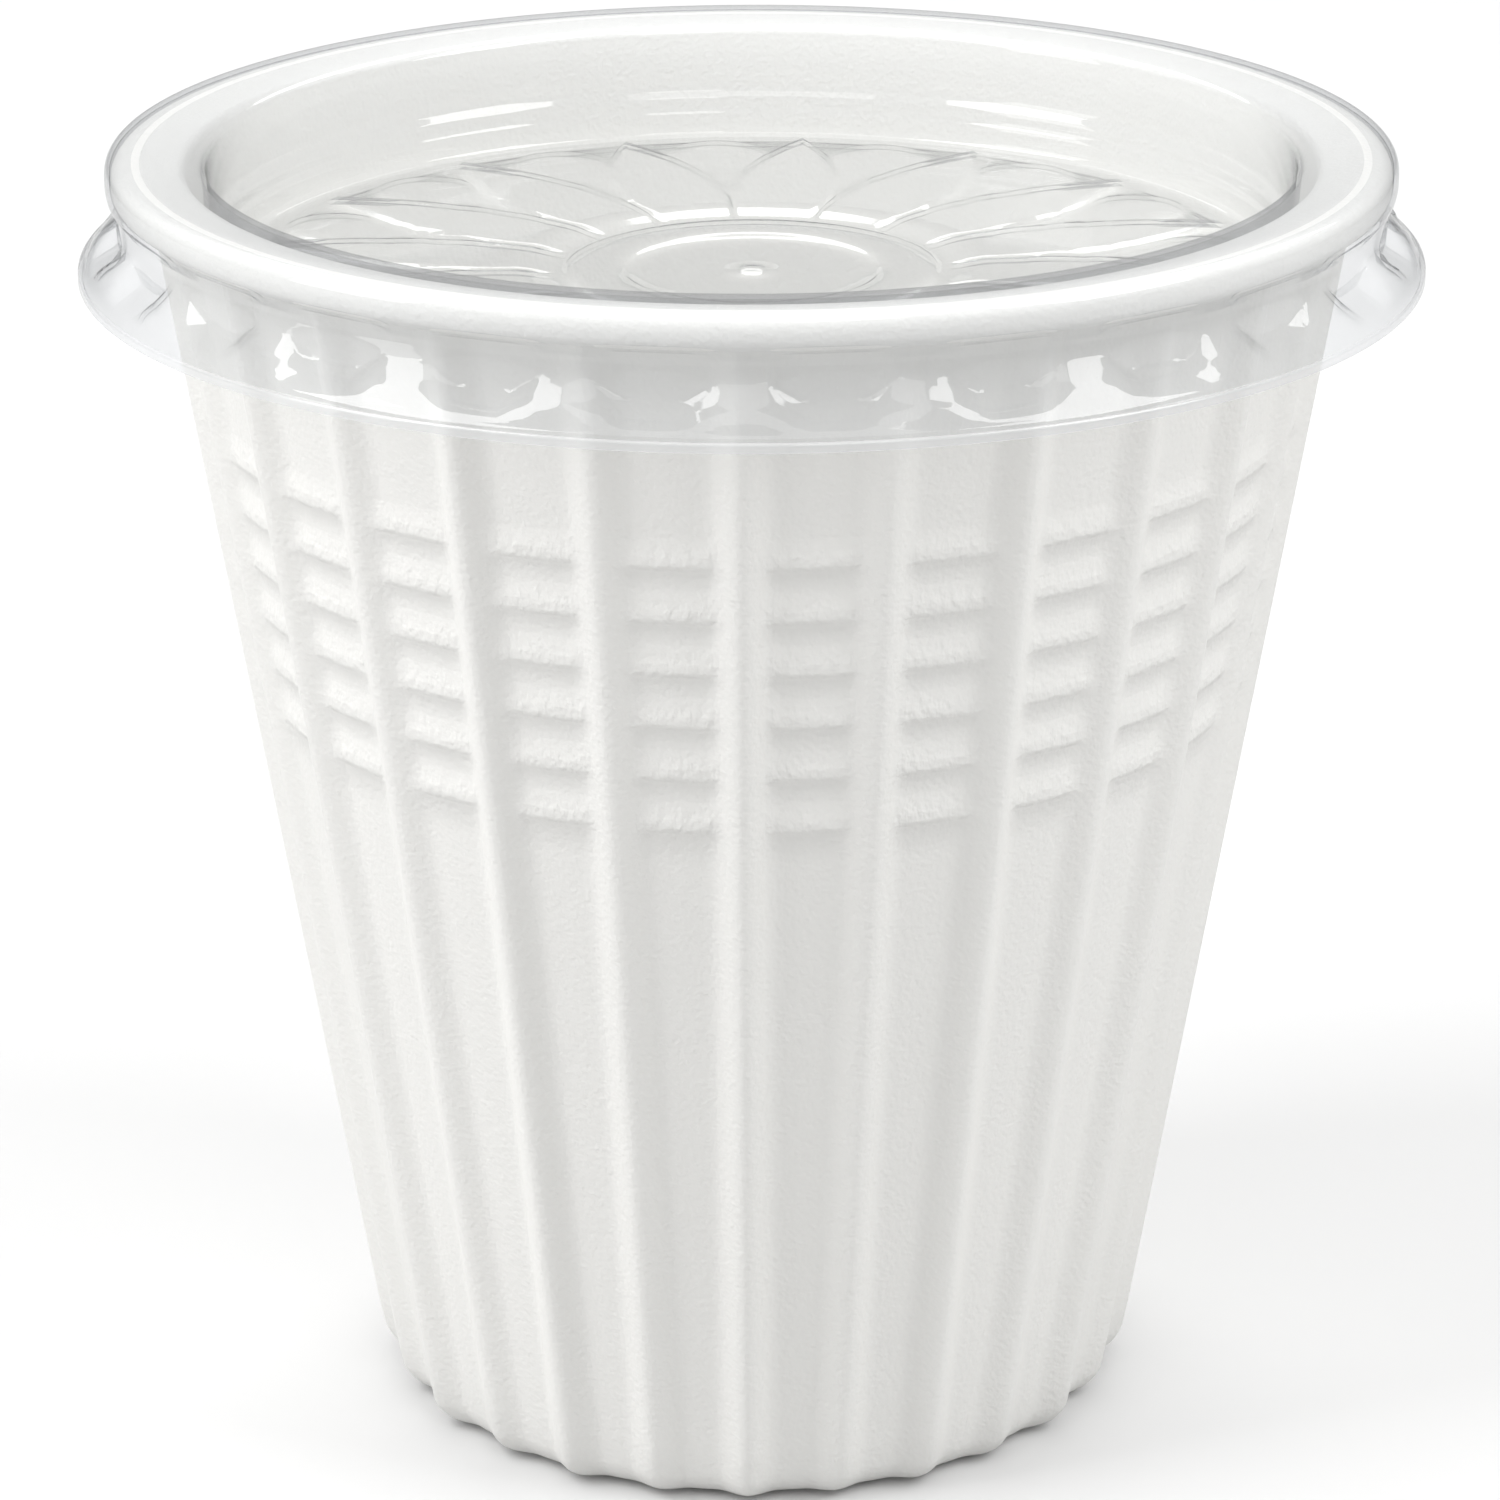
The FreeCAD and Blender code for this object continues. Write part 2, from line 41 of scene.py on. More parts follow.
# The camera stands a forearm away and looks down into the lid
camera = {
    "place": (0, -0.40988, 0.21005),
    "tilt": 69.401,
    "roll": -0.115,
    "lens": 122.18,
    "sensor": 36,
    "shift": -0.00183,
    "nearest": 0.01,
}

bpy.ops.object.select_all(action="DESELECT")
bpy.ops.object.camera_add(location=camera["place"], rotation=(radians(camera["tilt"]), 0, 0))
cam = bpy.context.object
cam.name = "cupCamera"
cam.rotation_euler.rotate_axis("Z", radians(camera["roll"]))
cam.data.lens = camera["lens"]
cam.data.sensor_width = camera["sensor"]
cam.data.shift_x = camera["shift"]
cam.data.clip_start = camera["nearest"]
bpy.context.scene.camera = cam
print("camera placed")


# How near two points are merged, in millimetres
merging = {
    "inSector": 0.002,
    "betweenSectors": 0.01,
}


# Leaves only the given pieces selected, with the first of them active
def selectOnly(*pieces):
    bpy.ops.object.select_all(action="DESELECT")
    for piece in pieces:
        piece.select_set(True)
    bpy.context.view_layer.objects.active = pieces[0]


# Eases from 0 at low to 1 at high
def smooth(value, low, high):
    t = min(max((value - low) / (high - low), 0), 1)
    return t * t * (3 - 2 * t)


def arc(centre, radius, start, end, steps):
    points = []
    for step in range(steps + 1):
        turn = radians(start + (end - start) * step / steps)
        points.append((centre[0] + radius * cos(turn), centre[1] + radius * sin(turn)))
    return points


# Draws a profile as a chain of extruded points, then spins it into a sector
def spinSector(name, profile, angle, steps, start):
    bpy.ops.object.select_all(action="DESELECT")
    bpy.ops.mesh.primitive_plane_add(size=mm, location=(0, 0, 0))
    piece = bpy.context.object
    piece.name = piece.data.name = name
    bpy.ops.object.mode_set(mode="EDIT")
    bpy.ops.mesh.select_all(action="SELECT")
    bpy.ops.mesh.merge(type="CENTER")
    bpy.ops.transform.translate(value=(profile[0][0] * mm, 0, profile[0][1] * mm))
    for here, there in zip(profile, profile[1:]):
        step = ((there[0] - here[0]) * mm, 0, (there[1] - here[1]) * mm)
        bpy.ops.mesh.extrude_region_move(TRANSFORM_OT_translate={"value": step})
    bpy.ops.mesh.select_all(action="SELECT")
    bpy.ops.mesh.spin(steps=steps, angle=radians(-angle), center=(0, 0, 0), axis=(0, 0, 1))
    bpy.ops.mesh.select_all(action="SELECT")
    bpy.ops.mesh.remove_doubles(threshold=merging["inSector"] * mm)
    bpy.ops.object.mode_set(mode="OBJECT")
    piece.rotation_euler = (0, 0, radians(start))
    bpy.ops.object.transform_apply(location=True, rotation=True, scale=True)
    return piece


# Copies a sector round the upright axis and welds the copies
def arrayRound(piece, count):
    bpy.ops.object.select_all(action="DESELECT")
    bpy.ops.object.empty_add(location=(0, 0, 0), rotation=(0, 0, 2 * pi / count))
    hinge = bpy.context.object
    selectOnly(piece)
    ring = piece.modifiers.new("ring", "ARRAY")
    ring.count = count
    ring.use_relative_offset = False
    ring.use_object_offset = True
    ring.offset_object = hinge
    bpy.ops.object.modifier_apply(modifier="ring")
    bpy.data.objects.remove(hinge)
    selectOnly(piece)
    bpy.ops.object.mode_set(mode="EDIT")
    bpy.ops.mesh.select_all(action="SELECT")
    bpy.ops.mesh.remove_doubles(threshold=merging["betweenSectors"] * mm)
    bpy.ops.object.mode_set(mode="OBJECT")


# Turns the piece about Z, leaves its place in its mesh and points its faces outwards
def turnAndApply(piece, angle):
    selectOnly(piece)
    piece.rotation_euler = (0, 0, radians(angle))
    bpy.ops.object.transform_apply(location=True, rotation=True, scale=True)
    bpy.ops.object.mode_set(mode="EDIT")
    bpy.ops.mesh.select_all(action="SELECT")
    bpy.ops.mesh.normals_make_consistent(inside=False)
    bpy.ops.object.mode_set(mode="OBJECT")


# The foam cup, in millimetres: soft ribs, and six pressed bars in every panel
cup = {
    "height": 109.2,
    "draft": 9.08,
    "wall": 1.93,
    "turn": 12.84,
    "columns": 36,
    "hollow": [(0, 1.2), (12, 1.2), (21, 1.2), (23.4, 1.15), (24.3, 0.85), (25.1, 0.2), (25.8, 0)],
    "footPanel": 31.0,
    "panelBend": 3.4,
    "wallRows": [5.5, 8, 12, 17, 23, 29, 35, 41, 47, 53, 58, 61.5],
    "neckRows": [92, 94.5, 97.5, 100.5, 103.5],
    "neckEnd": 1.2,
    # the rolled rim: its fillet is out from the wall and down from its underside
    "rim": 52.5,
    "rimDepth": 2.7,
    "rimFillet": [(-0.02, 0.35), (0.3, 0.05), (1.2, 0)],
    "rollUnder": 0.95,
    "rollOver": 1.3,
    "rollFlat": 2.2,
    # the mouth's edge is out from the inside and down from the top
    "mouthDepth": 0.5,
    "mouthEdge": [(0.8, 0.42), (0.25, 0.55)],
    "insideTop": 1.1,
    "insideRows": [104, 96, 84, 72, 60, 48, 36, 24, 14, 9],
    "floor": 3.4,
    "corner": 3,
    "floorRings": [16, 8, 0],
    # ribs, in pairs of a tall one and a low one
    "pairs": 13,
    "tall": 1.6,
    "low": 1.25,
    "ribReach": 2.6,
    "ribBend": 4.5,
    "ribFrom": 26.2,
    "ribSkin": 0.4,
    "ribRunOut": 0.3,
    "ribOver": 0.02,
    # pressed bars, with their rows of points up from the lower edge
    "bars": 6,
    "barTop": 87.3,
    "barPitch": 4.55,
    "barRows": [-0.35, 0, 0.4, 1.1, 1.9, 2.7],
    "barRise": 2.4,
    "barOut": 0.36,
    "barLip": 0.75,
    "barLipRise": 0.2,
    "barClear": 1.75,
    "barEnds": (0.9, 0.3),
    "barNear": 0.01,
}

# Where the bars are pleated, in millimetres up and along a bar, and the height that the map covers
pleated = {
    "deep": 0.3,
    "from": -0.1,
    "full": 0.7,
    "fade": 1.5,
    "ends": (0.7, 0.2),
    "mapHeight": 110,
}


def barEdge(bar):
    return cup["barTop"] - bar * cup["barPitch"]


def cupProfile():
    lean = tan(radians(cup["draft"]))
    foot, bend = cup["footPanel"], cup["panelBend"]
    top = cup["height"]
    under = top - cup["rimDepth"]
    inner = foot - cup["wall"]
    start = foot - bend * tan(radians(90 - cup["draft"]) / 2)
    below = cup["hollow"] + arc((start, bend), bend, -90, -cup["draft"], steps=7)
    rows = list(cup["wallRows"])
    for bar in range(cup["bars"] - 1, -1, -1):
        rows += [barEdge(bar) + row for row in cup["barRows"]]
    rows += cup["neckRows"] + [under - cup["neckEnd"]]
    wall = [(foot + z * lean, z) for z in rows]
    edge = foot + under * lean
    rim = [(edge + out, under - down) for out, down in cup["rimFillet"]]
    rollUnder, rollOver = cup["rollUnder"], cup["rollOver"]
    rim += arc((cup["rim"] - rollUnder, under + rollUnder), rollUnder, -90, 0, steps=4)
    rim += arc((cup["rim"] - rollOver, top - rollOver), rollOver, 0, 90, steps=6)
    rim += [(cup["rim"] - cup["rollFlat"], top)]
    mouth = inner + (top - cup["mouthDepth"]) * lean
    rim += [(mouth + out, top - down) for out, down in cup["mouthEdge"]]
    inside = [(inner + z * lean, z) for z in [top - cup["insideTop"]] + cup["insideRows"]]
    corner = cup["corner"]
    level = cup["floor"] + corner
    bowl = arc((inner + level * lean - corner, level), corner, 0, -90, steps=5)
    return below + wall + rim + inside + bowl + [(ring, cup["floor"]) for ring in cup["floorRings"]]


# How far across a panel a point lies, from the panel's middle line
def panelOffset(radius, turn, firstMiddle):
    half = pi / cup["pairs"]
    off = (turn - firstMiddle + half / 2) % half - half / 2
    return abs(radius * sin(off))


# Half a bar's length at this radius, clear of the ribs beside it
def barHalf(radius):
    return pi * radius / (2 * cup["pairs"]) - cup["barClear"]


# How far out the bars stand at this height: undercut below, then a slope up to the wall
def barPress(z, ends):
    press = 0
    for bar in range(cup["bars"]):
        rise = z - barEdge(bar)
        if -cup["barNear"] <= rise < cup["barRise"]:
            lip = rise < cup["barLipRise"]
            ramp = cup["barLip"] if lip else 1 - smooth(rise, -cup["barLipRise"], cup["barRise"])
            press += cup["barOut"] * ramp * ends
    return press


def shapeCupSector(piece):
    lean = tan(radians(cup["draft"]))
    step = 2 * pi / cup["pairs"]
    under = cup["height"] - cup["rimDepth"]
    ribTop = under + cup["ribOver"]
    bend = cup["ribBend"]
    crestFoot = cup["footPanel"] + cup["tall"]
    crestStart = crestFoot - bend * tan(radians(90 - cup["draft"]) / 2)
    inner = cup["footPanel"] - cup["wall"]
    inEnd, outEnd = cup["barEnds"]
    for vertex in piece.data.vertices:
        x, y, z = (c / mm for c in vertex.co)
        radius, turn = hypot(x, y), atan2(y, x)
        # the inside, the rim and the hollow under the floor stay round
        if z > ribTop or radius < inner + z * lean + cup["ribSkin"] or radius < cup["ribFrom"]:
            continue
        # a tall rib stands at 0, a low one half a sector's turn from it
        towards = 0 if turn < step / 4 else step / 2
        height = cup["tall"] if towards == 0 else cup["low"]
        off = abs(radius * sin(turn - towards))
        press = height * smooth(cup["ribReach"] - off, 0, cup["ribReach"])
        # near the foot the crest follows its own larger bend
        if z < bend:
            crest = crestStart + sqrt(max(bend ** 2 - (bend - z) ** 2, 0))
            press *= min(max((crest - radius) / cup["tall"], 0), 1)
        press *= 1 - smooth(z, under - cup["ribRunOut"], ribTop)
        across = panelOffset(radius, turn, step / 4)
        half = barHalf(radius)
        press += barPress(z, 1 - smooth(across, half - inEnd, half + outEnd))
        vertex.co.x += press * cos(turn) * mm
        vertex.co.y += press * sin(turn) * mm


# A mask for the rough pleats on the bars, and a map that follows the wall
def cupMaps(piece):
    unwrap = piece.data.uv_layers.new(name="wallMap")
    ridge = piece.data.attributes.new("ridge", "FLOAT", "POINT")
    lean = tan(radians(cup["draft"]))
    inEnd, outEnd = pleated["ends"]
    for vertex in piece.data.vertices:
        x, y, z = (c / mm for c in vertex.co)
        radius = hypot(x, y)
        across = panelOffset(radius, atan2(y, x), radians(cup["turn"]))
        half = barHalf(radius)
        mask = 0
        if radius > cup["footPanel"] + z * lean - pleated["deep"]:
            for bar in range(cup["bars"]):
                rise = z - barEdge(bar)
                if pleated["from"] < rise < cup["barRise"]:
                    mask = smooth(rise, pleated["from"], pleated["full"])
                    mask *= 1 - smooth(rise, pleated["fade"], cup["barRise"])
                    mask *= 1 - smooth(across, half - inEnd, half + outEnd)
        ridge.data[vertex.index].value = mask
    for loop in piece.data.loops:
        x, y, z = piece.data.vertices[loop.vertex_index].co
        unwrap.data[loop.index].uv = (atan2(y, x) / (2 * pi), z / (pleated["mapHeight"] * mm))


# the sector starts a quarter turn of its own before the tall rib, and the cup is then turned to its place
foamCup = spinSector("foamCup", cupProfile(), 360 / cup["pairs"], cup["columns"], -90 / cup["pairs"])
shapeCupSector(foamCup)
arrayRound(foamCup, cup["pairs"])
turnAndApply(foamCup, cup["turn"] + 90 / cup["pairs"])
bpy.ops.object.shade_smooth_by_angle(angle=radians(60))
cupMaps(foamCup)
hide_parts("cup")
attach(foamCup, "root")
print("cup modelled")


# The pressed lid, in millimetres: its top face, which then gets a wall
lid = {
    "wall": 0.4,
    "turn": 2.87,
    "columns": 14,
    "wellReach": 45,
    "lugs": 25,
    "lugFrom": 51.4,
    "lugBelow": 106.6,
    "lugFace": 52.08,
    "lugHalf": (4.8, 2.3),
    "lugLevels": (104.3, 102.8),
    "lugNormal": (0.5145, 0.8575),
    "lugSlope": 1.7,
    "lugSideLeast": 0.25,
    "lugColumns": (0.3, 0.6, 0.88),
    "lugEdge": 0.05,
    "lugRoom": 0.93,
    # each corner's radius, level, bend and the longest run after it
    "form": [
        (41.9, 99.4, 0, 2), (43.6, 99.4, 1.6, 2), (43.6, 101.3, 0.25, 2), (43.9, 101.8, 0.25, 2),
        (43.9, 102.7, 0.3, 2), (44.5, 103.55, 0.3, 2), (44.8, 109.1, 0.9, 2), (50.3, 109.6, 0.5, 2),
        (53.0, 109.6, 1.3, 2), (53.0, 106.8, 0.6, 0.6), (51.9, 105.75, 0.35, 0.35),
        (52.3, 104.3, 0.3, 0.35), (54.3, 102.0, 0.5, 0.5), (55.0, 100.75, 0.25, 0.5),
        (55.5, 100.55, 0.2, 0.5), (55.5, 99.85, 0, 1),
    ],
}

# How the corners of the form are rounded, and its runs divided
bends = {
    "mostOfRun": 0.48,
    "large": 0.8,
    "largeSteps": 7,
    "smallSteps": 2,
    "roundUp": 0.3,
}

# The lid's floor, in millimetres: petals and leaves round a hub, with rings closer together at each edge
rosette = {
    "petals": 16,
    "turn": 13.2,
    "columns": 20,
    "level": 99.4,
    "sag": 0.8,
    "sagReach": 41,
    "edge": 0.3,
    "petalOut": 0.45,
    "petalStart": (16.2, 2.85),
    "petalTip": 41.4,
    "petalBow": 28.4,
    "petalWidest": 6,
    "petalLeast": 0.01,
    "halvings": 20,
    "rootBefore": 0.6,
    "rootEnd": 19.5,
    "leafOut": 0.2,
    "leafStart": (23, 1.0),
    "leafEnd": (36.6, 4.6),
    "leafSlant": 0.965,
    "hub": (10.6, 15.5),
    "hubOut": 0.25,
    "hubEdge": 0.4,
    "pip": 0.9,
    "pipEdge": 0.3,
    "petalColumns": (0.35, 0.7),
    "columnRoom": (0.5, 0.08),
    "columnGap": 0.02,
    "rings": [
        0, 0.6, 0.9, 1.2, 3, 6, 9, 10.35, 10.48, 10.6, 10.72, 10.85, 12, 14, 15.25, 15.38, 15.5, 15.62,
        15.75, 15.92, 16.06, 16.2, 16.34, 16.5, 17.2, 18.2, 19.4, 20.6, 21.8, 22.7, 23, 23.3, 24.2,
        25.4, 26.6, 27.8, 29, 30.2, 31.4, 32.6, 33.8, 35, 36.2, 37.4, 38.5, 39.4, 40.1, 40.6, 40.9,
        41.1, 41.3, 41.5, 41.7,
    ],
}


# Rounds each corner by its own bend and splits the runs between them
def bentProfile(corners):
    points = [corners[0][:2]]
    runs = [corners[0][3]]
    for before, here, after in zip(corners, corners[1:], corners[2:]):
        ends = []
        for other in (before, after):
            run = hypot(other[0] - here[0], other[1] - here[1])
            reach = min(here[2], run * bends["mostOfRun"]) / run
            ends.append([here[i] + (other[i] - here[i]) * reach for i in (0, 1)])
        steps = bends["largeSteps"] if here[2] > bends["large"] else bends["smallSteps"]
        for step in range(steps + 1):
            t = step / steps
            points.append([ends[0][i] * (1 - t) ** 2 + here[i] * 2 * t * (1 - t) + ends[1][i] * t * t
                           for i in (0, 1)])
            runs.append(here[3])
    points.append(corners[-1][:2])
    split = [points[0]]
    for here, there, run in zip(points, points[1:], runs):
        length = hypot(there[0] - here[0], there[1] - here[1])
        parts = max(1, round(length / run + bends["roundUp"]))
        for part in range(1, parts + 1):
            split.append([here[i] + (there[i] - here[i]) * part / parts for i in (0, 1)])
    return split


# Spreads a sector's columns so that they follow the edges that repeat in it
def spread(share, marks):
    place = share * (len(marks) - 1)
    low = min(int(place), len(marks) - 2)
    return marks[low] + (marks[low + 1] - marks[low]) * (place - low)


# Presses one lug into its sector: a flat face with slanted sides that narrow downwards
def shapeLug(piece):
    top, foot = lid["lugLevels"]
    wide, narrow = lid["lugHalf"]
    normalAcross, normalDown = lid["lugNormal"]
    half = pi / lid["lugs"]
    for vertex in piece.data.vertices:
        x, y, z = (c / mm for c in vertex.co)
        radius, turn = hypot(x, y), atan2(y, x)
        if radius < lid["lugFrom"] or z > lid["lugBelow"]:
            continue
        edge = wide + (narrow - wide) * min(max((top - z) / (top - foot), 0), 1)
        side = max((radius - lid["lugFace"]) / lid["lugSlope"], lid["lugSideLeast"])
        last = radius * half
        sideEnd = min(edge + side, last * lid["lugRoom"])
        marks = [0] + [edge * share for share in lid["lugColumns"]]
        marks += [edge + lid["lugEdge"], sideEnd, (sideEnd + last) / 2, last]
        across = spread(abs(turn) / half, marks)
        turn = across / radius * (1 if turn > 0 else -1)
        slanted = (across - wide) * normalAcross + (top - z) * normalDown
        outside = max(slanted, foot - z, across - wide, 0)
        face = lid["lugFace"] + lid["lugSlope"] * outside
        vertex.co.x = min(radius * cos(turn), face) * mm
        vertex.co.y = radius * sin(turn) * mm


# How far inside a petal a spot lies: two arcs that meet at its tip
def petalDepth(along, across):
    start, half = rosette["petalStart"]
    tip, bow = rosette["petalTip"], rosette["petalBow"]
    run = hypot(tip - start, half)
    deep = sqrt(bow ** 2 - run ** 2 / 4)
    middleX = (start + tip) / 2 - half / run * deep
    middleY = half / 2 - (tip - start) / run * deep
    return min(bow - hypot(along - middleX, abs(across) - middleY), along - start)


# How far inside a leaf a spot lies: it widens outwards and ends round
def leafDepth(along, across):
    (start, narrow), (end, wide) = rosette["leafStart"], rosette["leafEnd"]
    if along > end:
        return wide - hypot(along - end, across)
    side = narrow + (along - start) * (wide - narrow) / (end - start)
    return min((side - abs(across)) * rosette["leafSlant"], along - start)


# Half a petal's width at this distance from the hub, found by halving
def petalHalf(along):
    start, tip = rosette["petalStart"][0], rosette["petalTip"]
    if not start < along < tip:
        return 0
    low, high = 0, rosette["petalWidest"]
    for halving in range(rosette["halvings"]):
        middle = (low + high) / 2
        inPetal = petalDepth(along, middle) > 0 or middle < rosette["petalLeast"]
        low, high = (middle, high) if inPetal else (low, middle)
    return low


def leafHalf(along):
    (start, narrow), (end, wide) = rosette["leafStart"], rosette["leafEnd"]
    if along < start or along > end + wide:
        return 0
    if along > end:
        return sqrt(wide ** 2 - (along - end) ** 2)
    return narrow + (along - start) * (wide - narrow) / (end - start)


# Where a sector's columns run at this radius: along the edges of the petal and the leaf
def columnMarks(radius, last):
    petal, edge = petalHalf(radius), rosette["edge"]
    leafSide = last - leafHalf(radius)
    wanted = [petal - edge, petal, petal + edge, leafSide - edge, leafSide, leafSide + edge]
    firstRoom, moreRoom = rosette["columnRoom"]
    marks = [0]
    for step, place in enumerate(wanted):
        room = last * (firstRoom + moreRoom * step)
        marks.append(max(min(place, room), marks[-1] + last * rosette["columnGap"]))
    marks = [0] + [marks[1] * share for share in rosette["petalColumns"]] + marks[1:]
    return marks + [(marks[-1] + last) / 2, last]


# How far the hub's ring and the pip at its middle stand up
def hubRise(radius):
    inner, outer = rosette["hub"]
    edge, pip, pipEdge = rosette["hubEdge"], rosette["pip"], rosette["pipEdge"]
    ring = rosette["hubOut"] * smooth(radius, inner - edge, inner + edge)
    ring *= 1 - smooth(radius, outer - edge, outer + edge)
    return max(ring, rosette["hubOut"] * (1 - smooth(radius, pip - pipEdge, pip + pipEdge)))


def pressPetals(piece):
    half = pi / rosette["petals"]
    edge = rosette["edge"]
    root = rosette["petalStart"][0]
    for vertex in piece.data.vertices:
        x, y = vertex.co.x / mm, vertex.co.y / mm
        radius = hypot(x, y)
        sag = rosette["sag"] * max(1 - (radius / rosette["sagReach"]) ** 2, 0)
        rise = 0
        if radius > root - rosette["rootBefore"]:
            turn = atan2(y, x)
            across = spread(abs(turn) / half, columnMarks(radius, half * radius))
            turn = across / radius * (1 if turn > 0 else -1)
            along, off = radius * cos(turn), radius * sin(turn)
            vertex.co.x, vertex.co.y = along * mm, off * mm
            away = half - abs(turn)
            inLeaf = leafDepth(radius * cos(away), radius * sin(away))
            tall = rosette["petalOut"] * smooth(petalDepth(along, off), -edge, edge)
            low = rosette["leafOut"] * smooth(inLeaf, -edge, edge)
            rise = max(tall, low) * smooth(radius, root, rosette["rootEnd"])
        vertex.co.z += (max(rise, hubRise(radius)) - sag) * mm


# Joins the floor to the foot of the well by bridging their open edges
def joinAtWell(skirt, lidFloor):
    selectOnly(skirt, lidFloor)
    bpy.ops.object.join()
    piece = bpy.context.object
    bpy.ops.object.mode_set(mode="EDIT")
    bpy.ops.mesh.select_mode(type="EDGE")
    bpy.ops.mesh.select_all(action="DESELECT")
    bpy.ops.object.mode_set(mode="OBJECT")
    useCount = {}
    for face in piece.data.polygons:
        for key in face.edge_keys:
            useCount[key] = useCount.get(key, 0) + 1
    for edge in piece.data.edges:
        if useCount.get(edge.key, 0) == 1:
            spot = piece.data.vertices[edge.vertices[0]].co
            edge.select = hypot(spot.x, spot.y) < lid["wellReach"] * mm
    bpy.ops.object.mode_set(mode="EDIT")
    bpy.ops.mesh.bridge_edge_loops()
    bpy.ops.object.mode_set(mode="OBJECT")
    return piece


skirt = spinSector("clearLid", bentProfile(lid["form"]), 360 / lid["lugs"], lid["columns"],
                   -180 / lid["lugs"])
shapeLug(skirt)
arrayRound(skirt, lid["lugs"])

lidFloor = spinSector("lidFloor", [(ring, rosette["level"]) for ring in rosette["rings"]],
                      360 / rosette["petals"], rosette["columns"], -180 / rosette["petals"])
pressPetals(lidFloor)
arrayRound(lidFloor, rosette["petals"])
turnAndApply(lidFloor, rosette["turn"])

clearLid = joinAtWell(skirt, lidFloor)
turnAndApply(clearLid, lid["turn"])

selectOnly(clearLid)
wall = clearLid.modifiers.new("wall", "SOLIDIFY")
wall.thickness = lid["wall"] * mm
wall.offset = -1
bpy.ops.object.modifier_apply(modifier="wall")
bpy.ops.object.shade_smooth_by_angle(angle=radians(50))
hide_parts("lid")
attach(clearLid, "root")
print("lid modelled")


# Plain pale floor and soft studio light
studio = {
    "floorSize": 6,
    "floorColour": (0.76, 0.76, 0.76),
    "floorBounce": (0.5, 0.5, 0.5),
    "floorRoughness": 0.9,
    "air": (1.0, 1.0, 1.0),
    "airStrength": 0.5,
}

softboxes = {
    "boxTop": {"place": (0, 1.1, 1.2), "aim": (0, 0, 0.05), "size": (1.6, 0.8), "power": 11.0},
    "boxAbove": {"place": (0, -0.75, 1.35), "aim": (0, 0, 0.08), "size": (1.2, 0.6), "power": 2.9},
    "boxLeft": {"place": (-0.75, -0.22, 0.95), "aim": (0, 0, 0.05), "size": (0.55, 0.7), "power": 6.2},
    "boxSide": {"place": (-1.05, -0.35, 0.45), "aim": (0, 0, 0.06), "size": (0.5, 0.6), "power": 2.1},
    "boxRight": {"place": (0.8, -0.25, 0.9), "aim": (0, 0, 0.05), "size": (0.5, 0.7), "power": 5.5},
    "boxFront": {"place": (0.3, -0.95, 0.95), "aim": (0, 0, 0.1), "size": (0.35, 0.25), "power": 0.7},
}

bpy.ops.object.select_all(action="DESELECT")
bpy.ops.mesh.primitive_plane_add(size=studio["floorSize"], location=(0, 0, 0))
tableTop = bpy.context.object
tableTop.name = "floor"
pale = bpy.data.materials.new("paleFloor")
pale.use_nodes = True
nodes, links = pale.node_tree.nodes, pale.node_tree.links
skin = nodes["Principled BSDF"]
skin.inputs["Base Color"].default_value = (*studio["floorColour"], 1)
skin.inputs["Roughness"].default_value = studio["floorRoughness"]
# the floor throws less light back at the cup than it shows
bounce = nodes.new("ShaderNodeBsdfDiffuse")
bounce.inputs["Color"].default_value = (*studio["floorBounce"], 1)
rays = nodes.new("ShaderNodeLightPath")
choose = nodes.new("ShaderNodeMixShader")
links.new(rays.outputs["Is Diffuse Ray"], choose.inputs["Fac"])
links.new(skin.outputs["BSDF"], choose.inputs[1])
links.new(bounce.outputs["BSDF"], choose.inputs[2])
links.new(choose.outputs["Shader"], nodes["Material Output"].inputs["Surface"])
tableTop.data.materials.append(pale)

for name, box in softboxes.items():
    bpy.ops.object.light_add(type="AREA", location=box["place"])
    lamp = bpy.context.object
    lamp.name = name
    lamp.rotation_euler = (lamp.location - Vector(box["aim"])).to_track_quat("Z", "Y").to_euler()
    lamp.visible_camera = False
    lamp.data.shape = "RECTANGLE"
    lamp.data.size, lamp.data.size_y = box["size"]
    lamp.data.energy = box["power"]

world = bpy.data.worlds.new("studioAir")
world.use_nodes = True
world.node_tree.nodes["Background"].inputs["Color"].default_value = (*studio["air"], 1)
world.node_tree.nodes["Background"].inputs["Strength"].default_value = studio["airStrength"]
bpy.context.scene.world = world
bpy.context.scene.view_settings.view_transform = "Standard"
print("floor and lights placed")


# White foam: a fine grain of beads all over, and rough pleats on the bars (heights in metres)
foamLook = {
    "colour": (0.93, 0.925, 0.90),
    "roughness": 0.6,
    "specular": 0.35,
    "beadScale": 2200,
    "beadDetail": 1.5,
    "beadRoughness": 0.45,
    "beadHeight": 0.00008,
    "pleatStretch": (360, 75, 1),
    "pleatScale": 1.0,
    "pleatDetail": 2.0,
    "pleatHeight": 0.00024,
}

foam = bpy.data.materials.new("whiteFoam")
foam.use_nodes = True
nodes, links = foam.node_tree.nodes, foam.node_tree.links
skin = nodes["Principled BSDF"]
skin.inputs["Base Color"].default_value = (*foamLook["colour"], 1)
skin.inputs["Roughness"].default_value = foamLook["roughness"]
skin.inputs["Specular IOR Level"].default_value = foamLook["specular"]
place = nodes.new("ShaderNodeTexCoord")
beads = nodes.new("ShaderNodeTexNoise")
beads.inputs["Scale"].default_value = foamLook["beadScale"]
beads.inputs["Detail"].default_value = foamLook["beadDetail"]
beads.inputs["Roughness"].default_value = foamLook["beadRoughness"]
links.new(place.outputs["Object"], beads.inputs["Vector"])
beadBump = nodes.new("ShaderNodeBump")
beadBump.inputs["Distance"].default_value = foamLook["beadHeight"]
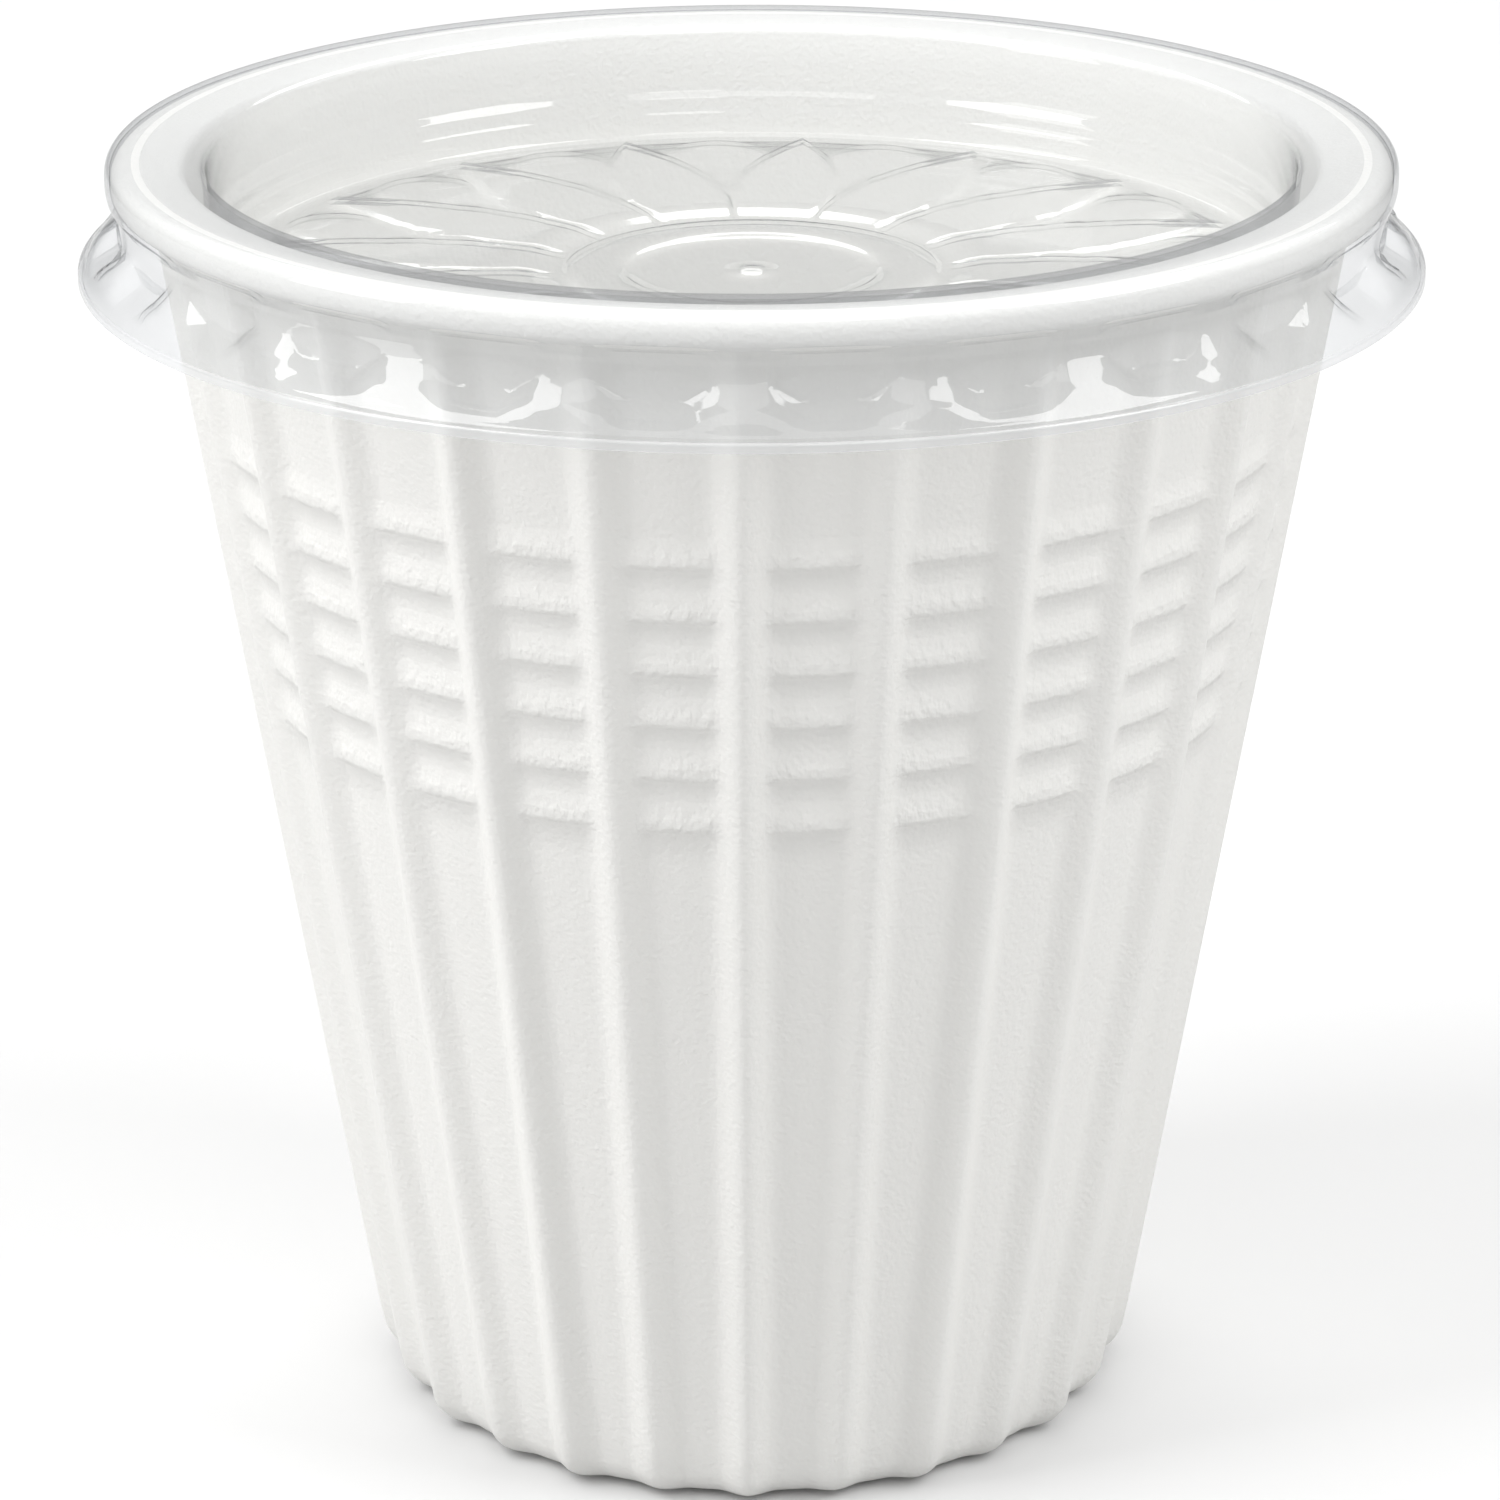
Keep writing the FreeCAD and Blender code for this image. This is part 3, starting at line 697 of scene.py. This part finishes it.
links.new(beads.outputs["Fac"], beadBump.inputs["Height"])
# the pleats run up and down, so their noise is stretched on the wall's own map
wallMap = nodes.new("ShaderNodeUVMap")
wallMap.uv_map = "wallMap"
stretch = nodes.new("ShaderNodeMapping")
stretch.inputs["Scale"].default_value = foamLook["pleatStretch"]
links.new(wallMap.outputs["UV"], stretch.inputs["Vector"])
pleats = nodes.new("ShaderNodeTexNoise")
pleats.inputs["Scale"].default_value = foamLook["pleatScale"]
pleats.inputs["Detail"].default_value = foamLook["pleatDetail"]
links.new(stretch.outputs["Vector"], pleats.inputs["Vector"])
mask = nodes.new("ShaderNodeAttribute")
mask.attribute_name = "ridge"
only = nodes.new("ShaderNodeMath")
only.operation = "MULTIPLY"
links.new(pleats.outputs["Fac"], only.inputs[0])
links.new(mask.outputs["Fac"], only.inputs[1])
pleatBump = nodes.new("ShaderNodeBump")
pleatBump.inputs["Distance"].default_value = foamLook["pleatHeight"]
links.new(only.outputs["Value"], pleatBump.inputs["Height"])
links.new(beadBump.outputs["Normal"], pleatBump.inputs["Normal"])
links.new(pleatBump.outputs["Normal"], skin.inputs["Normal"])

# Clear pressed sheet: seen straight through, darker at a slant, a little milky, with a painted highlight
# on its lip, glossy on its front faces
clearLook = {
    "colour": (0.93, 0.935, 0.94),
    "milkRoughness": 0.3,
    "milkIndex": 1.5,
    "tint": (0.94, 0.945, 0.95),
    "slantTint": (0.48, 0.49, 0.50),
    "slantBlend": 0.5,
    "deepening": 6.0,
    "shade": (0.99, 0.99, 0.99),
    "milk": 0.06,
    # on the lip the milk share is raised to paint a highlight along its edge
    "lipMilkPaintedHighlight": 0.35,
    "lipFrom": 0.0553,
    "gloss": 0.05,
    "glossIndex": 1.6,
}

clear = bpy.data.materials.new("clearFilm")
clear.use_nodes = True
nodes, links = clear.node_tree.nodes, clear.node_tree.links
skin = nodes["Principled BSDF"]
skin.inputs["Base Color"].default_value = (*clearLook["colour"], 1)
skin.inputs["Roughness"].default_value = clearLook["milkRoughness"]
skin.inputs["IOR"].default_value = clearLook["milkIndex"]
through = nodes.new("ShaderNodeBsdfTransparent")
lean = nodes.new("ShaderNodeLayerWeight")
lean.inputs["Blend"].default_value = clearLook["slantBlend"]
deep = nodes.new("ShaderNodeMath")
deep.operation = "POWER"
deep.inputs[1].default_value = clearLook["deepening"]
links.new(lean.outputs["Facing"], deep.inputs[0])
shadeIn = nodes.new("ShaderNodeMix")
shadeIn.data_type = "RGBA"
shadeIn.inputs["A"].default_value = (*clearLook["tint"], 1)
shadeIn.inputs["B"].default_value = (*clearLook["slantTint"], 1)
links.new(deep.outputs["Value"], shadeIn.inputs["Factor"])
links.new(shadeIn.outputs["Result"], through.inputs["Color"])
milky = nodes.new("ShaderNodeMixShader")
# the turned lip, past lipFrom in metres from the axis, is made milkier and so whiter than the rest: a
# painted highlight along its edge
spot = nodes.new("ShaderNodeTexCoord")
parts = nodes.new("ShaderNodeSeparateXYZ")
links.new(spot.outputs["Object"], parts.inputs["Vector"])
level = nodes.new("ShaderNodeCombineXYZ")
links.new(parts.outputs["X"], level.inputs["X"])
links.new(parts.outputs["Y"], level.inputs["Y"])
reach = nodes.new("ShaderNodeVectorMath")
reach.operation = "LENGTH"
links.new(level.outputs["Vector"], reach.inputs[0])
paintedLipHighlightMask = nodes.new("ShaderNodeMath")
paintedLipHighlightMask.operation = "GREATER_THAN"
paintedLipHighlightMask.inputs[1].default_value = clearLook["lipFrom"]
links.new(reach.outputs["Value"], paintedLipHighlightMask.inputs[0])
# the milk share: a little real haze everywhere, and on the lip a painted highlight
milk = nodes.new("ShaderNodeMapRange")
milk.inputs["To Min"].default_value = clearLook["milk"]
milk.inputs["To Max"].default_value = clearLook["lipMilkPaintedHighlight"]
links.new(paintedLipHighlightMask.outputs["Value"], milk.inputs["Value"])
links.new(milk.outputs["Result"], milky.inputs["Fac"])
links.new(through.outputs["BSDF"], milky.inputs[1])
links.new(skin.outputs["BSDF"], milky.inputs[2])
# gloss by the slant, and none on back faces
mirror = nodes.new("ShaderNodeBsdfGlossy")
mirror.inputs["Roughness"].default_value = clearLook["gloss"]
slant = nodes.new("ShaderNodeFresnel")
slant.inputs["IOR"].default_value = clearLook["glossIndex"]
side = nodes.new("ShaderNodeNewGeometry")
outer = nodes.new("ShaderNodeMath")
outer.operation = "SUBTRACT"
outer.inputs[0].default_value = 1.0
links.new(side.outputs["Backfacing"], outer.inputs[1])
rays = nodes.new("ShaderNodeLightPath")
share = nodes.new("ShaderNodeMath")
share.operation = "MULTIPLY"
links.new(slant.outputs["Fac"], share.inputs[0])
links.new(outer.outputs["Value"], share.inputs[1])
glossy = nodes.new("ShaderNodeMixShader")
links.new(share.outputs["Value"], glossy.inputs["Fac"])
links.new(milky.outputs["Shader"], glossy.inputs[1])
links.new(mirror.outputs["BSDF"], glossy.inputs[2])
# shadows and soft light pass nearly unchanged
either = nodes.new("ShaderNodeMath")
either.operation = "MAXIMUM"
links.new(rays.outputs["Is Shadow Ray"], either.inputs[0])
links.new(rays.outputs["Is Diffuse Ray"], either.inputs[1])
clearWay = nodes.new("ShaderNodeBsdfTransparent")
clearWay.inputs["Color"].default_value = (*clearLook["shade"], 1)
choose = nodes.new("ShaderNodeMixShader")
links.new(either.outputs["Value"], choose.inputs["Fac"])
links.new(glossy.outputs["Shader"], choose.inputs[1])
links.new(clearWay.outputs["BSDF"], choose.inputs[2])
links.new(choose.outputs["Shader"], nodes["Material Output"].inputs["Surface"])

for piece, material in ((foamCup, foam), (clearLid, clear)):
    piece.data.materials.clear()
    piece.data.materials.append(material)
print("materials given")
